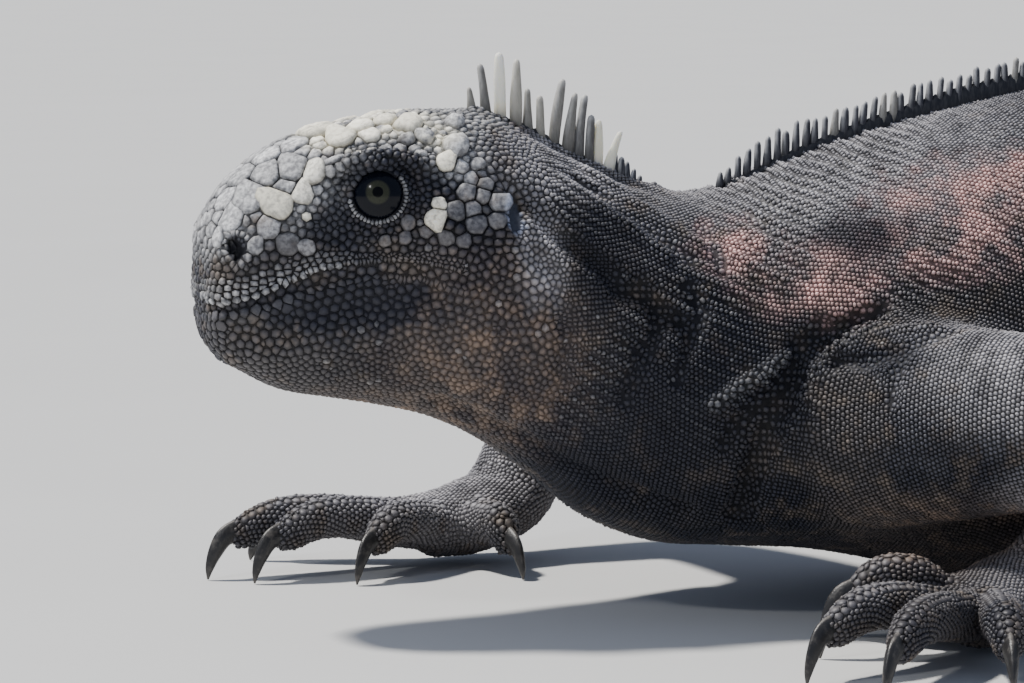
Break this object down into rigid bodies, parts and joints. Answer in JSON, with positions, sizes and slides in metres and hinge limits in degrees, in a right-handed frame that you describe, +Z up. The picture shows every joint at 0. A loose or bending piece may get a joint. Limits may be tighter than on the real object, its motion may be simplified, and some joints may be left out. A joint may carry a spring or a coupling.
{
  "type": "marine iguana model",
  "caption": "Life-size still model of an adult marine iguana, resting on its belly with the chest propped on the forelegs, head level and tail along the floor.",
  "frame": {"origin": "centre of the flat of the belly that rests on the floor", "axes": "-X towards the snout, +X along the body to the tail, -Y the animal's left side, +Z up"},
  "size_m": [0.8872, 0.3366, 0.1281],
  "materials": {
    "hide": "matte scaly hide, charcoal with pale salt crust and reddish patches",
    "claw": "dark horn, satin",
    "eye": "wet, dark olive iris with a small pupil"
  },
  "bodies": {
    "root": {"head": "hide", "lower_jaw": "hide", "neck": "hide", "chest": "hide", "belly": "hide", "tail_base": "hide", "tail_middle": "hide", "tail_end": "hide", "tail_tip": "hide", "eye_left": "eye", "eye_right": "eye", "upper_arm_left": "hide", "forearm_left": "hide", "hand_left": "hide", "hand_left_claw_1": "claw", "hand_left_claw_2": "claw", "hand_left_claw_3": "claw", "hand_left_claw_4": "claw", "hand_left_claw_5": "claw", "upper_arm_right": "hide", "forearm_right": "hide", "hand_right": "hide", "hand_right_claw_1": "claw", "hand_right_claw_2": "claw", "hand_right_claw_3": "claw", "hand_right_claw_4": "claw", "hand_right_claw_5": "claw", "thigh_left": "hide", "shank_left": "hide", "foot_left": "hide", "foot_left_claw_1": "claw", "foot_left_claw_2": "claw", "foot_left_claw_3": "claw", "foot_left_claw_4": "claw", "foot_left_claw_5": "claw", "thigh_right": "hide", "shank_right": "hide", "foot_right": "hide", "foot_right_claw_1": "claw", "foot_right_claw_2": "claw", "foot_right_claw_3": "claw", "foot_right_claw_4": "claw", "foot_right_claw_5": "claw"}
  },
  "joints": []
}
